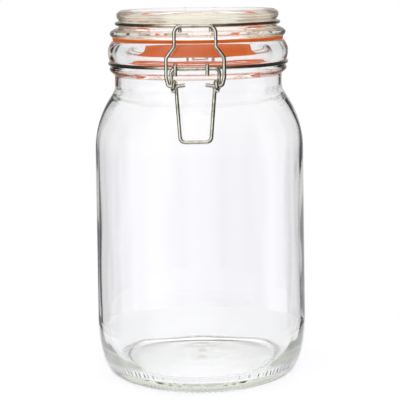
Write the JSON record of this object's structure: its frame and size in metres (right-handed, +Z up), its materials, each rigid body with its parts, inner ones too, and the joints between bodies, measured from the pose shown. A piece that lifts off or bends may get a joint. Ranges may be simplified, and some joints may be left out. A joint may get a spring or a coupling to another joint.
{
  "type": "clip-top preserving jar",
  "caption": "Empty clear glass preserving jar, closed: rounded shoulder, thick glass lid on an orange rubber seal, held by a bent-wire lever clasp and a rear wire hinge.",
  "frame": {"origin": "on the jar's axis, at the level of the foot it stands on", "axes": "+Z up along the jar, -Y towards the clasp, +X to the right seen from the clasp"},
  "size_m": [0.121, 0.1221, 0.2094],
  "materials": {
    "jar_glass": "clear, smooth, with a fine stippled foot ring",
    "lid_glass": "clear pressed glass, smooth",
    "seal_rubber": "matt orange",
    "wire_steel": "bright drawn wire"
  },
  "bodies": {
    "jar": {"jar_glass": "jar_glass", "neck_wire": "wire_steel"},
    "lid": {"lid_glass": "lid_glass", "lid_wire": "wire_steel", "seal_ring": "seal_rubber"},
    "lever": {"lever": "wire_steel"},
    "bail": {"bail": "wire_steel"}
  },
  "joints": [
    {"name": "lid_hinge", "type": "hinge", "parent": "jar", "child": "lid", "pos_m": [0, 0.0562, 0.1815], "axis": [-1, 0, 0], "range_deg": [0, 110]},
    {"name": "lever_pivot", "type": "hinge", "parent": "jar", "child": "lever", "pos_m": [0, -0.055, 0.1798], "axis": [-1, 0, 0], "range_deg": [0, 150]},
    {"name": "bail_pivot", "type": "hinge", "parent": "lever", "child": "bail", "pos_m": [0, -0.056, 0.1707], "axis": [-1, 0, 0], "range_deg": [-150, 0]}
  ],
  "couplings": [
    {"joint": "bail_pivot", "follows": "lever_pivot", "ratio": -1}
  ]
}
